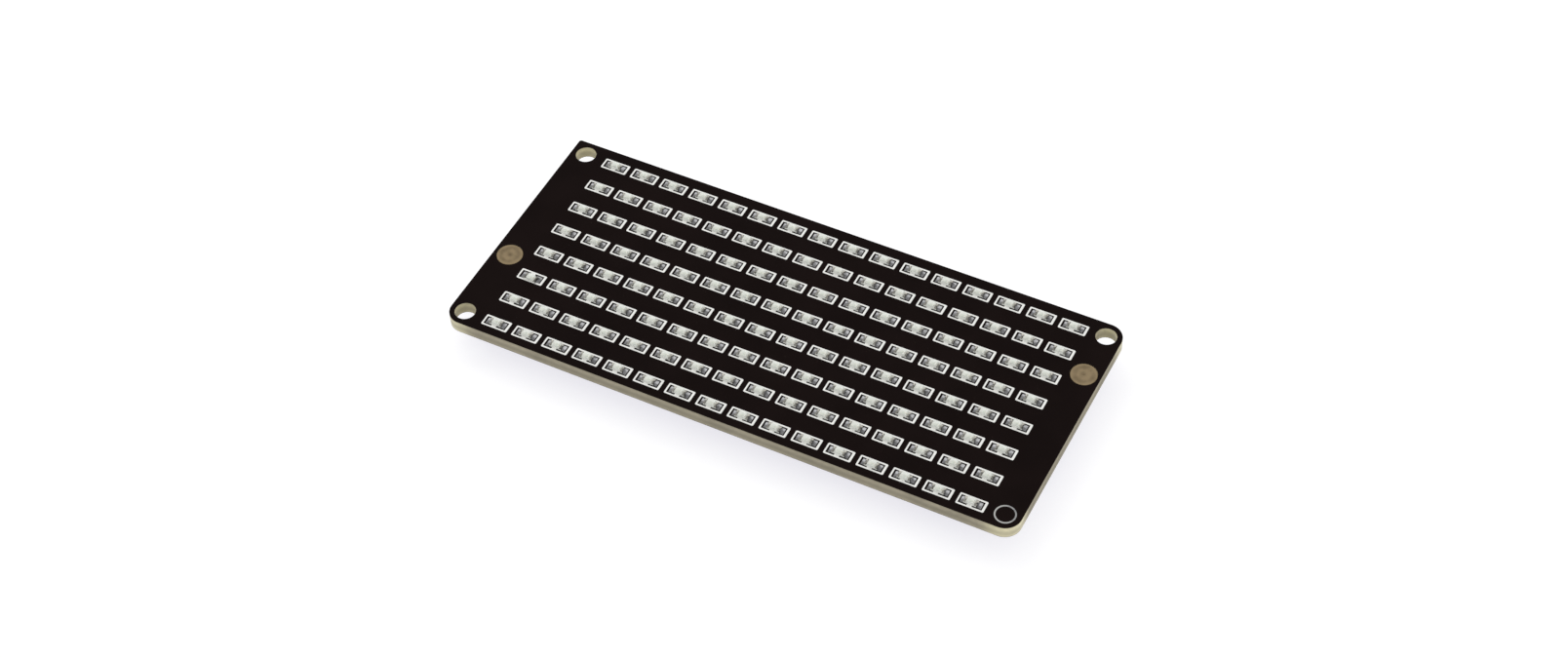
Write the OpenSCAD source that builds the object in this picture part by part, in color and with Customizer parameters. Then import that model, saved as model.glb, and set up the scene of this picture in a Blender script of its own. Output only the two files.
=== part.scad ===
// LED dot matrix board: a black circuit board with rows of small chip LEDs on its
// front, and its driver chip, passives and plug socket on its back.
// Millimetres. X runs along the board, Y to its far edge, Z up through the front face.
// The origin is under the middle of the board, at the level of the lowest piece.

/* [LED array] */
// LEDs in each row
led_columns = 16; // [12:1:24]
// Rows of LEDs
led_rows = 8; // [7:1:12]
// Spacing of the LEDs both ways
led_pitch = 4; // [3.8:0.1:6]
// How far the array's middle lies to the right of the board's middle
array_shift_x = 0.2; // [-0.5:0.1:0.5]
// How far the array's middle lies behind the board's middle
array_shift_y = -0.2; // [-0.5:0.1:0.5]

/* [Board] */
// Outer LED column to the board's end, for an array in the middle
end_margin = 6; // [5.7:0.1:12]
// Outer LED row to the board's long edge, for an array in the middle
side_margin = 2; // [1.6:0.1:8]
// Thickness of the board with its lacquer
board_t = 1.6; // [1:0.1:3.2]
// Radius of the three rounded corners
corner_r = 2; // [0.6:0.1:3]
// Radius of the sharp corner at the far left
sharp_corner_r = 0.3; // [0.1:0.1:2]
// Thickness of the lacquer on each face
mask_t = 0.04; // [0.02:0.01:0.1]
// Thickness of the printed ink
ink_t = 0.03; // [0.02:0.01:0.1]

/* [Mounting holes] */
// Diameter of the three mounting holes
hole_d = 2.5; // [1.6:0.1:2.8]
// Hole centre to each of the two nearest edges
hole_inset = 1.9; // [1.9:0.1:2.3]
// Outer diameter of the ring printed in the corner that has no hole
ring_d = 2.5; // [1.5:0.1:2.8]
// Width of the ring's line
ring_line = 0.18; // [0.1:0.01:0.4]

/* [Press-in nuts] */
// Diameter of the nut's shank, seen as a disc from the front
nut_d = 3.2; // [2.8:0.1:3.4]
// Nut centre to the board's end
nut_inset = 2; // [1.9:0.1:2.3]
// Left nut's place, in rows from the back row
nut_left_row = 4.5; // [2.5:1:5.5]
// Right nut's place, in rows from the back row
nut_right_row = 1.5; // [1.5:1:3.5]
// Diameter of the flange behind the board
nut_flange_d = 3.7; // [3.6:0.1:3.8]
// Thickness of the flange
nut_flange_t = 0.3; // [0.2:0.1:0.8]
// Bore of the thread, the tapping size of M2
nut_bore_d = 1.6; // [1.2:0.1:2]
// Thickness of the nut's closed front
nut_cap_t = 0.4; // [0.3:0.05:0.6]
// Clearance between the shank and the board
nut_fit = 0.02; // [0.01:0.01:0.05]

/* [LED] */
// Length of an LED
led_len = 1.6; // [1.4:0.05:2.1]
// Width of an LED
led_wid = 0.8; // [0.6:0.05:1.3]
// Height of the white base
led_base_h = 0.2; // [0.14:0.02:0.6]
// Length of the clear lens on its base
lens_len = 1.02; // [0.8:0.02:1.2]
// Height of the clear lens
lens_h = 0.3; // [0.2:0.05:0.8]
// How far each end of the lens leans in
lens_lean = 0.08; // [0.02:0.02:0.2]
// Length of a terminal along the LED
terminal_len = 0.28; // [0.16:0.02:0.4]
// Thickness of a terminal's plating
plating_t = 0.03; // [0.02:0.01:0.05]
// Side of the square light-emitting die
die_side = 0.22; // [0.16:0.02:0.4]
// Height of the die
die_h = 0.1; // [0.06:0.02:0.16]

/* [LED surroundings] */
// Length of the white printed outline
outline_len = 3.33; // [3.15:0.01:3.5]
// Width of the outline's line
outline_line = 0.2; // [0.1:0.01:0.24]
// Width of its thicker line, at the LED's right end
outline_end_line = 0.28; // [0.1:0.01:0.3]
// Clearance between an LED's side and the outline
outline_gap = 0.18; // [0.04:0.01:0.2]
// Width of the bar printed under the LED
outline_bar = 0.6; // [0.2:0.05:0.7]
// How far the bar lies to the left of the LED's middle
outline_bar_shift = 0.1; // [0:0.01:0.1]
// How far a solder pad reaches past the LED's end
pad_toe = 0.42; // [0.2:0.02:0.44]
// How far a solder pad reaches past each side of the LED
pad_side = 0.02; // [0.01:0.01:0.04]
// Height that the solder climbs up an LED's end
solder_climb = 0.14; // [0.06:0.02:0.14]

/* [Driver chip] */
// Leads on each side
chip_leads = 14; // [8:1:14]
// Lead pitch
chip_pitch = 1.27; // [1:0.01:1.27]
// Body past the outer lead's centre, at each end
chip_end = 0.7; // [0.5:0.05:1.5]
// Width of the chip's body
chip_wid = 7.5; // [5.3:0.1:7.5]
// Height of the chip's body
chip_h = 2.35; // [1.4:0.05:2.5]
// Gap between the body and the board
chip_gap = 0.2; // [0.1:0.05:0.3]
// How far the body's faces lean in over half the height
chip_lean = 0.14; // [0.05:0.01:0.3]
// How far a lead reaches out from the body
lead_reach = 1.4; // [1.2:0.05:1.8]
// Length of a lead's flat foot
lead_foot = 0.7; // [0.5:0.05:0.8]
// Width of a lead
lead_wid = 0.42; // [0.3:0.01:0.5]
// Thickness of a lead
lead_t = 0.25; // [0.15:0.01:0.3]
// Diameter of the mark beside the first lead
chip_dimple_d = 0.9; // [0.5:0.1:1.2]

/* [Capacitors and resistors] */
// Large capacitor: length
bulk_len = 3.2; // [2:0.1:3.4]
// Large capacitor: width
bulk_wid = 1.6; // [1.2:0.1:2.5]
// Large capacitor: height
bulk_h = 1.6; // [0.8:0.1:2]
// Small capacitors and resistors: length
small_len = 1.6; // [1:0.1:1.7]
// Small capacitors and resistors: width
small_wid = 0.8; // [0.5:0.05:0.9]
// Height of a small capacitor
small_cap_h = 0.8; // [0.5:0.05:0.9]
// Height of a resistor
resistor_h = 0.45; // [0.3:0.05:0.6]
// Resistors beside the large capacitor
resistor_count = 3; // [1:1:3]
// Share of a part's length that each metal end takes
end_share = 0.22; // [0.1:0.01:0.3]
// How far a solder pad reaches past the part's end
part_toe = 0.35; // [0.2:0.05:0.5]

/* [Plug socket] */
// Contacts in the socket
socket_ways = 4; // [2:1:6]
// Contact pitch
socket_pitch = 1; // [0.8:0.1:1.25]
// Housing past the outer contact's centre, at each side
socket_side = 1.5; // [1.3:0.1:2]
// Depth of the housing from its mouth to its back
socket_len = 4.25; // [3.6:0.05:5]
// Height of the housing
socket_h = 2.95; // [2.6:0.05:3.5]
// Thickness of the housing's walls
socket_wall = 0.45; // [0.3:0.05:0.6]
// Thickness of the housing's back wall
socket_back = 0.9; // [0.6:0.1:1.2]
// Thickness of a contact
contact_t = 0.25; // [0.15:0.05:0.3]
// Gap between a contact's tip and the mouth
contact_setback = 1; // [0.5:0.1:1.5]
// Length of a contact's foot behind the housing
contact_foot = 0.8; // [0.5:0.1:1]
// Length of an anchor tab along the housing
anchor_len = 1.2; // [0.8:0.1:1.6]
// How far an anchor tab's foot reaches out
anchor_foot = 0.7; // [0.5:0.1:0.9]
// Thickness of an anchor tab
anchor_t = 0.2; // [0.15:0.05:0.3]
// Socket's mouth to the board's right end
socket_inset_x = 1.4; // [1.3:0.1:3]
// Socket's side to the board's front edge
socket_inset_y = 3.2; // [3:0.1:6]

/* [Back layout] */
// Gap between the chip's body and the small capacitor
cap_gap = 1.6; // [1:0.1:3]
// Gap between the small and the large capacitor
bulk_gap = 2.4; // [2:0.1:4]
// Spacing of the resistors
resistor_pitch = 2.2; // [1.8:0.1:2.6]
// Pairs of bare address pads at the chip's other end
address_pairs = 3; // [1:1:3]
// Side of an address pad
address_pad = 1; // [0.6:0.1:1.2]
// Gap between the two pads of a pair
address_gap = 0.3; // [0.2:0.05:0.5]
// Spacing of the pairs
address_pitch = 2; // [1.6:0.1:2.4]

/* [Hidden] */
$fn = 64;
cut = 1; // how far a cutter runs past the face that it opens

board_w = (led_columns - 1) * led_pitch + 2 * end_margin;
board_d = (led_rows - 1) * led_pitch + 2 * side_margin;
board_z = max(socket_h, chip_gap + chip_h); // underside of the board
core_t = board_t - 2 * mask_t;
board_top = board_z + board_t;

outline_wid = led_wid + 2 * (outline_gap + outline_line);
led_lift = ink_t; // an LED stands on its solder and on the bar printed under it
led_pad_w = led_wid + 2 * pad_side;
solder_edge = 0.02; // height of a fillet's outer edge

nut_x = board_w / 2 - nut_inset;
hole_x = board_w / 2 - hole_inset;
hole_y = board_d / 2 - hole_inset;
nut_hole_r = nut_d / 2 + nut_fit;

chip_len = (chip_leads - 1) * chip_pitch + 2 * chip_end;
lead_pad_w = lead_wid + 0.16;
lead_toe = 0.25; // solder pad past the lead's foot

end_len_bulk = bulk_len * end_share;
end_len_small = small_len * end_share;

socket_wid = (socket_ways - 1) * socket_pitch + 2 * socket_side;
socket_mid_z = socket_h / 2;
contact_toe = 0.25; // solder pad past a contact's foot
anchor_toe = 0.2; // solder pad past an anchor tab's foot

// Places on the back: x, y and turn about Z
chip_at = [0, 0, 0];
small_cap_x = chip_len / 2 + cap_gap + small_wid / 2;
small_cap_at = [small_cap_x, 0, 90];
bulk_x = small_cap_x + small_wid / 2 + bulk_gap + bulk_wid / 2;
bulk_at = [bulk_x, 0, 90];
resistor_x = bulk_x + bulk_wid / 2 + bulk_gap + small_wid / 2;
resistor_at = [for (i = [0:resistor_count - 1]) [resistor_x + i * resistor_pitch, 0, 90]];
address_x = -chip_len / 2 - cap_gap - address_pad;
address_at = [for (i = [0:address_pairs - 1]) [address_x - i * address_pitch, 0, 90]];
socket_at = [board_w / 2 - socket_inset_x - socket_len / 2,
             -board_d / 2 + socket_inset_y + socket_wid / 2, 0];

function column_x(i) = array_shift_x + (i - (led_columns - 1) / 2) * led_pitch;
function row_y(j) = array_shift_y + ((led_rows - 1) / 2 - j) * led_pitch; // row 0 is the far one

// ---- placing ----

// Puts its children at each LED of row j, standing on the board's front
module at_leds(j) {
    for (i = [0:led_columns - 1])
        translate([column_x(i), row_y(j), board_top]) children();
}

// Puts its children on the board's back at a place [x, y, turn], with +Z away from the board
module on_back(place) {
    translate([place.x, place.y, board_z]) rotate([180, 0, 0]) rotate(place.z) children();
}

// The same place for a flat shape
module on_back_flat(place) {
    translate([place.x, place.y]) mirror([0, 1]) rotate(place.z) children();
}

// Both ends of a part that lies along X
module both_ends() {
    children();
    mirror([1, 0, 0]) children();
}

// Draws a profile in X and Z, that width along Y
module bar(width) {
    rotate([90, 0, 0]) linear_extrude(width, center = true) children();
}

// ---- solder ----

// One joint: it fills the lacquer's opening from x = 0 to pad_len, carries the part at the
// height of lift as far as covered, and climbs its end face in a hollow curve
module solder_joint(pad_len, covered, climb, width, lift = 0) {
    toe = pad_len - covered;
    steps = 3;
    bar(width) polygon(concat(
        [[0, lift], [0, -mask_t], [pad_len, -mask_t]],
        [for (k = [0:steps]) let (a = 90 * k / steps)
            [pad_len - toe * sin(a), solder_edge + (climb - solder_edge) * (1 - cos(a))]],
        [[covered, lift]]));
}

// ---- the board ----

// Takes a corner's outside away, for a corner at the first quadrant's outer point
module corner_cut(r) {
    translate([-r, -r]) difference() {
        square(r + cut);
        circle(r);
    }
}

module board_shape() {
    difference() {
        square([board_w, board_d], center = true);
        translate([board_w / 2, board_d / 2]) corner_cut(corner_r);
        translate([board_w / 2, -board_d / 2]) rotate(-90) corner_cut(corner_r);
        translate([-board_w / 2, -board_d / 2]) rotate(180) corner_cut(corner_r);
        translate([-board_w / 2, board_d / 2]) rotate(90) corner_cut(sharp_corner_r);
    }
}

// The three mounting holes, drilled through board and lacquer in every corner but the near right
module mounting_holes() {
    for (p = [[-1, 1], [1, 1], [-1, -1]])
        translate([p.x * hole_x, p.y * hole_y]) circle(hole_d / 2);
}

module nut_places() {
    translate([-nut_x, row_y(nut_left_row)]) children();
    translate([nut_x, row_y(nut_right_row)]) children();
}

module circuit_board() {
    color("#c8bd8a") translate([0, 0, board_z + mask_t]) linear_extrude(core_t)
        difference() {
            board_shape();
            mounting_holes();
            nut_places() circle(nut_hole_r);
        }
}

// One face's lacquer, open over the pads that its children draw
module solder_mask() {
    color("#1a1413") linear_extrude(mask_t)
        difference() {
            board_shape();
            mounting_holes();
            nut_places() circle(nut_hole_r);
            children();
        }
}

module solder_mask_front() {
    pad_len = terminal_len + pad_toe;
    pad_in = led_len / 2 - terminal_len;
    translate([0, 0, board_top - mask_t]) solder_mask()
        for (j = [0:led_rows - 1], i = [0:led_columns - 1])
            translate([column_x(i), row_y(j)]) both_ends()
                translate([pad_in, -led_pad_w / 2]) square([pad_len, led_pad_w]);
}

module solder_mask_back() {
    translate([0, 0, board_z]) solder_mask() {
        on_back_flat(chip_at) for (side = [0, 180]) rotate(side) chip_pad_row();
        on_back_flat(small_cap_at) part_pads(small_len, small_wid, end_len_small);
        on_back_flat(bulk_at) part_pads(bulk_len, bulk_wid, end_len_bulk);
        for (place = resistor_at)
            on_back_flat(place) part_pads(small_len, small_wid, end_len_small);
        for (place = address_at) on_back_flat(place) address_pair();
        on_back_flat(socket_at) socket_pads();
    }
}

// ---- print ----

// A frame with one thicker end, and a bar across it
module led_outline() {
    inside = [outline_len - outline_line - outline_end_line, outline_wid - 2 * outline_line];
    difference() {
        square([outline_len, outline_wid], center = true);
        translate([(outline_line - outline_end_line) / 2, 0]) square(inside, center = true);
    }
    translate([-outline_bar_shift, 0])
        square([outline_bar, outline_wid - outline_line], center = true);
}

module led_outlines() {
    color("#f4f4f0") for (j = [0:led_rows - 1]) at_leds(j) linear_extrude(ink_t) led_outline();
}

module corner_ring() {
    color("#a9a9a6") translate([hole_x, -hole_y, board_top]) linear_extrude(ink_t)
        difference() {
            circle(ring_d / 2);
            circle(ring_d / 2 - ring_line);
        }
}

// A printed frame that clears a part of this size
module part_frame(length, width) {
    gap = 0.2;
    line = 0.15;
    difference() {
        square([length, width] + 2 * (gap + line) * [1, 1], center = true);
        square([length, width] + 2 * gap * [1, 1], center = true);
    }
}

module back_outlines() {
    first_mark_r = 0.3;
    color("#f4f4f0") translate([0, 0, board_z - ink_t]) linear_extrude(ink_t) {
        on_back_flat(small_cap_at) part_frame(small_len + 2 * part_toe, small_wid);
        on_back_flat(bulk_at) part_frame(bulk_len + 2 * part_toe, bulk_wid);
        for (place = resistor_at) on_back_flat(place) part_frame(small_len + 2 * part_toe, small_wid);
        for (place = address_at) on_back_flat(place)
            part_frame(2 * address_pad + address_gap, address_pad);
        on_back_flat(chip_at) translate([-chip_len / 2 - 3 * first_mark_r, chip_wid / 2 + lead_reach])
            circle(first_mark_r);
    }
}

// ---- LEDs ----

// A terminal's profile wraps the base's end: top, end face and underside
module terminal_profile() {
    translate([led_len / 2 - terminal_len, 0]) difference() {
        square([terminal_len, led_base_h]);
        translate([-cut, plating_t])
            square([cut + terminal_len - plating_t, led_base_h - 2 * plating_t]);
    }
}

module led_base() {
    bar(led_wid) difference() {
        translate([-led_len / 2, 0]) square([led_len, led_base_h]);
        both_ends() terminal_profile();
    }
}

module led_die() {
    translate([-die_side / 2, -die_side / 2, led_base_h]) cube([die_side, die_side, die_h]);
}

// The lens is cast over the die, and its ends lean in
module led_lens() {
    foot = lens_len / 2;
    difference() {
        translate([0, 0, led_base_h]) bar(led_wid)
            polygon([[-foot, 0], [foot, 0], [foot - lens_lean, lens_h], [lens_lean - foot, lens_h]]);
        led_die();
    }
}

module led_solder() {
    both_ends() translate([led_len / 2 - terminal_len, 0, 0])
        solder_joint(terminal_len + pad_toe, terminal_len, led_lift + solder_climb, led_pad_w,
                     led_lift);
}

module on_solder() { translate([0, 0, led_lift]) children(); }

module led_bases(j) { color("#eeeeea") at_leds(j) on_solder() led_base(); }
module led_lenses(j) { color([0.85, 0.87, 0.84, 0.5]) at_leds(j) on_solder() led_lens(); }
module led_terminals(j) {
    color("#b9b6ad") at_leds(j) on_solder() both_ends() bar(led_wid) terminal_profile();
}
module led_solder_joints(j) { color("#a8a8a8") at_leds(j) led_solder(); }
module led_dies() {
    color("#c9d8c4") for (j = [0:led_rows - 1]) at_leds(j) on_solder() led_die();
}

// ---- press-in nuts ----

// Turned nut: its shank fills the board and shows as a flush disc in front, its flange
// stands behind, and its thread opens to the back
module press_nut(x, row) {
    color("#8a7a58") translate([x, row_y(row), 0]) difference() {
        union() {
            translate([0, 0, board_z]) cylinder(h = board_t, d = nut_d);
            translate([0, 0, board_z - nut_flange_t]) cylinder(h = nut_flange_t, d = nut_flange_d);
        }
        translate([0, 0, board_z - nut_flange_t - cut])
            cylinder(h = cut + nut_flange_t + board_t - nut_cap_t, d = nut_bore_d);
    }
}

module press_nut_left() { press_nut(-nut_x, nut_left_row); }
module press_nut_right() { press_nut(nut_x, nut_right_row); }

// ---- driver chip ----

// Half of the body's height leans in from the parting line to each face
module chip_profile(width) {
    side = width / 2;
    polygon([[-side, chip_h / 2], [chip_lean - side, 0], [side - chip_lean, 0],
             [side, chip_h / 2], [side - chip_lean, chip_h], [chip_lean - side, chip_h]]);
}

module driver_chip() {
    dimple_depth = 0.1;
    dimple_in = 1.1; // from the body's edges
    color("#222224") on_back(chip_at) translate([0, 0, chip_gap]) difference() {
        intersection() {
            bar(chip_wid) chip_profile(chip_len);
            rotate(90) bar(chip_len) chip_profile(chip_wid);
        }
        translate([dimple_in - chip_len / 2, chip_wid / 2 - dimple_in, chip_h - dimple_depth])
            cylinder(h = dimple_depth + cut, d = chip_dimple_d);
    }
}

// A gull-wing lead, drawn outwards along X from the body's side
module lead_profile() {
    exit_z = chip_gap + chip_h / 2;
    knee = (lead_reach - lead_foot) / 2;
    foot_x = lead_reach - lead_foot;
    polygon([[0, exit_z - lead_t / 2], [knee - lead_t / 2, exit_z - lead_t / 2],
             [foot_x - lead_t / 2, 0], [lead_reach, 0], [lead_reach, lead_t],
             [foot_x + lead_t / 2, lead_t], [knee + lead_t / 2, exit_z + lead_t / 2],
             [0, exit_z + lead_t / 2]]);
}

// Every lead of both sides: its children point out along X
module each_lead() {
    for (side = [90, -90]) rotate(side) for (i = [0:chip_leads - 1])
        translate([chip_wid / 2, (i - (chip_leads - 1) / 2) * chip_pitch]) children();
}

module chip_pad_row() {
    for (i = [0:chip_leads - 1])
        translate([(i - (chip_leads - 1) / 2) * chip_pitch - lead_pad_w / 2,
                   chip_wid / 2 + lead_reach - lead_foot])
            square([lead_pad_w, lead_foot + lead_toe]);
}

module driver_chip_leads() {
    color("#b8b8b8") on_back(chip_at) each_lead() bar(lead_wid) lead_profile();
}

module driver_chip_solder() {
    color("#a8a8a8") on_back(chip_at) each_lead() translate([lead_reach - lead_foot, 0, 0])
        solder_joint(lead_foot + lead_toe, lead_foot, lead_t * 0.8, lead_pad_w);
}

// ---- capacitors and resistors ----

// A part's body between its metal ends
module part_body(length, width, height, end_len) {
    translate([0, 0, height / 2]) cube([length - 2 * end_len, width, height], center = true);
}

module part_ends(length, width, height, end_len) {
    both_ends() translate([length / 2 - end_len, -width / 2, 0]) cube([end_len, width, height]);
}

module part_pads(length, width, end_len) {
    both_ends() translate([length / 2 - end_len, -width / 2]) square([end_len + part_toe, width]);
}

module part_solder(length, width, end_len, climb) {
    both_ends() translate([length / 2 - end_len, 0, 0])
        solder_joint(end_len + part_toe, end_len, climb, width);
}

module address_pair() {
    both_ends() translate([address_gap / 2, -address_pad / 2]) square(address_pad);
}

module bulk_capacitor() {
    color("#b9a27a") on_back(bulk_at) part_body(bulk_len, bulk_wid, bulk_h, end_len_bulk);
}
module bulk_capacitor_ends() {
    color("#b8b8b8") on_back(bulk_at) part_ends(bulk_len, bulk_wid, bulk_h, end_len_bulk);
}
module small_capacitor() {
    color("#b9a27a") on_back(small_cap_at)
        part_body(small_len, small_wid, small_cap_h, end_len_small);
}
module small_capacitor_ends() {
    color("#b8b8b8") on_back(small_cap_at)
        part_ends(small_len, small_wid, small_cap_h, end_len_small);
}
module resistors() {
    color("#2a2a2c") for (place = resistor_at)
        on_back(place) part_body(small_len, small_wid, resistor_h, end_len_small);
}
module resistor_ends() {
    color("#b8b8b8") for (place = resistor_at)
        on_back(place) part_ends(small_len, small_wid, resistor_h, end_len_small);
}
module address_pads() {
    color("#b8b8b8") for (place = address_at)
        on_back(place) translate([0, 0, -mask_t]) linear_extrude(mask_t) address_pair();
}

// ---- plug socket ----

// The socket lies on the board with its mouth towards +X
module each_contact() {
    for (i = [0:socket_ways - 1])
        translate([0, (i - (socket_ways - 1) / 2) * socket_pitch, 0]) children();
}

// A contact: its pin lies in the mouth, and it passes the back wall down to its foot
module contact() {
    rear = -socket_len / 2;
    low = socket_mid_z - contact_t / 2;
    high = socket_mid_z + contact_t / 2;
    bar(contact_t) polygon([
        [socket_len / 2 - contact_setback, low], [socket_len / 2 - contact_setback, high],
        [rear - contact_t, high], [rear - contact_t, contact_t],
        [rear - contact_foot, contact_t], [rear - contact_foot, 0],
        [rear, 0], [rear, low]]);
}

module socket_housing() {
    inside_w = socket_wid - 2 * socket_wall;
    inside_h = socket_h - 2 * socket_wall;
    window = [1.4, 1]; // the plug's two latch windows in the roof
    color("#e9e4d4") on_back(socket_at) difference() {
        translate([-socket_len / 2, -socket_wid / 2, 0]) cube([socket_len, socket_wid, socket_h]);
        translate([socket_back - socket_len / 2, -inside_w / 2, socket_wall])
            cube([socket_len, inside_w, inside_h]);
        for (side = [-1, 1])
            translate([0, side * (inside_w - window.y) / 2 - window.y / 2, socket_h - socket_wall - cut])
                cube([window.x, window.y, socket_wall + 2 * cut]);
        each_contact() contact();
    }
}

module socket_contacts() {
    color("#c9b98a") on_back(socket_at) each_contact() contact();
}

// An anchor tab stands against the housing's side, with its foot out on the board
module anchor_profile() {
    height = socket_h * 0.6;
    translate([socket_wid / 2, 0]) {
        square([anchor_t, height]);
        square([anchor_t + anchor_foot, anchor_t]);
    }
}

module each_anchor() {
    x = socket_len / 2 - anchor_len;
    for (side = [90, -90]) translate([x, 0, 0]) rotate(side) children();
}

module socket_anchors() {
    color("#b8b8b8") on_back(socket_at) each_anchor() bar(anchor_len) anchor_profile();
}

module socket_pads() {
    each_contact() translate([-socket_len / 2 - contact_foot - contact_toe, -contact_t])
        square([contact_foot + contact_toe, 2 * contact_t]);
    each_anchor() translate([socket_wid / 2, -anchor_len / 2])
        square([anchor_t + anchor_foot + anchor_toe, anchor_len]);
}

module socket_solder() {
    each_contact() translate([-socket_len / 2, 0, 0]) mirror([1, 0, 0])
        solder_joint(contact_foot + contact_toe, contact_foot, contact_t * 0.8, 2 * contact_t);
    each_anchor() translate([socket_wid / 2, 0, 0])
        solder_joint(anchor_t + anchor_foot + anchor_toe, anchor_t + anchor_foot,
                     anchor_t * 0.8, anchor_len);
}

module back_solder() {
    color("#a8a8a8") {
        on_back(small_cap_at) part_solder(small_len, small_wid, end_len_small, small_cap_h * 0.6);
        on_back(bulk_at) part_solder(bulk_len, bulk_wid, end_len_bulk, bulk_h * 0.5);
        for (place = resistor_at)
            on_back(place) part_solder(small_len, small_wid, end_len_small, resistor_h * 0.8);
        on_back(socket_at) socket_solder();
    }
}

// ---- nodes ----

circuit_board();
solder_mask_front();
solder_mask_back();
led_outlines();
corner_ring();
back_outlines();
for (j = [1:led_rows]) {
    led_bases(j - 1);
    led_lenses(j - 1);
    led_terminals(j - 1);
    led_solder_joints(j - 1);
}
led_dies();
press_nut_left();
press_nut_right();
driver_chip();
driver_chip_leads();
driver_chip_solder();
bulk_capacitor();
bulk_capacitor_ends();
small_capacitor();
small_capacitor_ends();
resistors();
resistor_ends();
address_pads();
socket_housing();
socket_contacts();
socket_anchors();
back_solder();
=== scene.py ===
import math
import random

import bmesh
import bpy
from bpy.props import (
    FloatProperty,
    FloatVectorProperty,
    IntProperty,
    PointerProperty,
)
from mathutils import Matrix, Vector


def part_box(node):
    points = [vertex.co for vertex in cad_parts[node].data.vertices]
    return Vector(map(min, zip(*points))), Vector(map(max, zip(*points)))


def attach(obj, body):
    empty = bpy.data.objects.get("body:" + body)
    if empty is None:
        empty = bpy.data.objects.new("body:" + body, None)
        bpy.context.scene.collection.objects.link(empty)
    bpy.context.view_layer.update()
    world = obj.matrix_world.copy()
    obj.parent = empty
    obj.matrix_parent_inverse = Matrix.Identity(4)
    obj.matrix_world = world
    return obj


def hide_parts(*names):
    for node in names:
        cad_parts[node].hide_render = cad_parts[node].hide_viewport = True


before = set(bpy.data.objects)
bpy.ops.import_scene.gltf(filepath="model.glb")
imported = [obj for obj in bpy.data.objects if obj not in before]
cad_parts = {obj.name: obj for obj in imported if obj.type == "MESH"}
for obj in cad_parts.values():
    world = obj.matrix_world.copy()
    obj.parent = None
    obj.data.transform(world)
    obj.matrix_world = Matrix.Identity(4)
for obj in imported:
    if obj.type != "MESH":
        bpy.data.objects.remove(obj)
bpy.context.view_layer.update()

bl_info = {
    "name": "LED dot matrix",
    "version": (1, 0, 0),
    "blender": (4, 5, 0),
    "location": "3D View > Sidebar > Dot matrix",
    "description": "Builds the finished surfaces and fine pieces of an LED dot matrix board",
    "category": "Object",
}

MM = 0.001
BODY = "root"


def on_axis(node, axis, high):
    """A node's lowest or highest coordinate along one axis, in metres."""
    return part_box(node)[1 if high else 0][axis]


FRONT = on_axis("solder_mask_front", 2, True)  # level of the lacquered front face
BACK = on_axis("solder_mask_back", 2, False)  # level of the lacquered back face
BOARD_HIGH = Vector(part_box("circuit_board")[1])


def middle(node):
    """The middle of a node's box."""
    low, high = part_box(node)
    return (Vector(low) + Vector(high)) / 2


# ---- settings ----


def length(name, description, mm):
    """A length setting, given in millimetres."""
    return FloatProperty(name=name, description=description, default=mm * MM, unit="LENGTH",
                         subtype="DISTANCE", min=0.0, precision=5)


def linear(code, alpha=1.0):
    """An sRGB hex colour as linear RGBA."""
    parts = [int(code[i:i + 2], 16) / 255 for i in (0, 2, 4)]
    return (*[c / 12.92 if c <= 0.04045 else ((c + 0.055) / 1.055) ** 2.4 for c in parts], alpha)


def tint(name, description, code):
    """A colour setting, given as sRGB hex."""
    return FloatVectorProperty(name=name, description=description, default=linear(code),
                               subtype="COLOR", size=4, min=0.0, max=1.0)


class DotArraySettings(bpy.types.PropertyGroup):
    columns: IntProperty(name="Columns", description="LEDs in each row", default=16, min=1)
    rows: IntProperty(name="Rows", description="Rows of LEDs", default=8, min=1)
    pitch: length("Pitch", "Spacing of the LEDs both ways", 4.0)
    wander: length("Wander", "How far an LED may sit from its place", 0.04)
    turn: FloatProperty(name="Turn", description="How far an LED may be turned from square",
                        default=math.radians(1.6), unit="ROTATION", subtype="ANGLE")
    seed: IntProperty(name="Seed", description="Start of the random placing", default=7)


class LedSettings(bpy.types.PropertyGroup):
    body_length: length("Length", "Length of an LED", 1.6)
    width: length("Width", "Width of an LED", 0.8)
    lift: length("Lift", "How high the solder and the printed bar lift an LED", 0.03)
    base_height: length("Base height", "Height of the white base", 0.2)
    notch: length("Notch", "Radius of the half-round notch in each end", 0.16)
    terminal: length("Terminal", "Length of a terminal on the base", 0.28)
    plating: length("Plating", "Thickness of the terminals' plating", 0.03)
    lens_length: length("Lens length", "Length of the clear lens", 1.02)
    lens_height: length("Lens height", "Height of the clear lens", 0.3)
    lens_lean: length("Lens lean", "How far each lens end leans in", 0.08)
    die: length("Die", "Side of the square die", 0.22)
    die_height: length("Die height", "Height of the die", 0.1)
    toe: length("Solder toe", "How far the solder reaches past the LED's end", 0.42)
    climb: length("Solder climb", "How high the solder climbs up the LED's end", 0.17)
    pad_width: length("Pad width", "Width of a solder pad", 0.84)


class PrintSettings(bpy.types.PropertyGroup):
    frame_length: length("Outline length", "Length of an LED's printed outline", 3.33)
    frame_width: length("Outline width", "Width of an LED's printed outline", 1.56)
    line: length("Line", "Width of the printed line", 0.2)
    end_line: length("End line", "Width of the thicker line at the LED's right end", 0.28)
    bar: length("Bar", "Width of the bar printed under the LED", 0.6)
    bar_shift: length("Bar shift", "How far the bar lies to the left of the middle", 0.1)
    corner: length("Corner", "Radius of the line's outer corners", 0.12)
    thickness: length("Ink", "Thickness of the printed ink", 0.03)


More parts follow.
